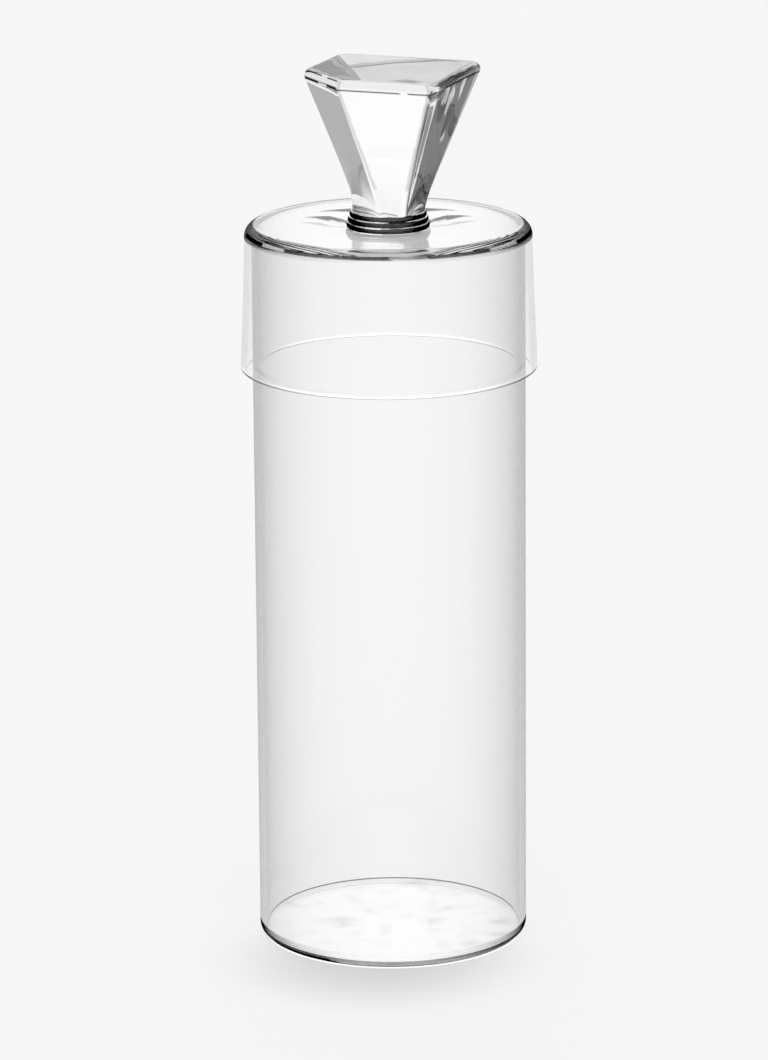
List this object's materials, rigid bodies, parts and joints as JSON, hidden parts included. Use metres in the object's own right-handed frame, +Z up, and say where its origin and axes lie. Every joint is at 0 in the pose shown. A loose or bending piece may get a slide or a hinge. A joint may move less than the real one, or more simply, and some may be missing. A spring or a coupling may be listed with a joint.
{
  "type": "carafe with tumbler",
  "caption": "Tall straight-sided clear glass carafe closed by its own upturned tumbler, whose solid faceted foot makes the knob that lifts it off.",
  "frame": {"origin": "centre of the carafe's base, on the surface it stands on", "axes": "+Z up along the carafe's axis; +X and +Y look square out of two faces of the tumbler's foot"},
  "size_m": [0.098, 0.098, 0.294],
  "materials": {
    "carafe_glass": "clear, drawn and fire-polished",
    "tumbler_glass": "clear, fire-polished bowl with a polished solid foot"
  },
  "bodies": {
    "carafe": {"carafe_body": "carafe_glass"},
    "tumbler": {"tumbler_bowl": "tumbler_glass", "merese_collar": "tumbler_glass", "faceted_foot": "tumbler_glass"}
  },
  "joints": [
    {"name": "tumbler_lift", "type": "slide", "parent": "carafe", "child": "tumbler", "axis": [0, 0, 1], "range_m": [0, 0.07]}
  ]
}
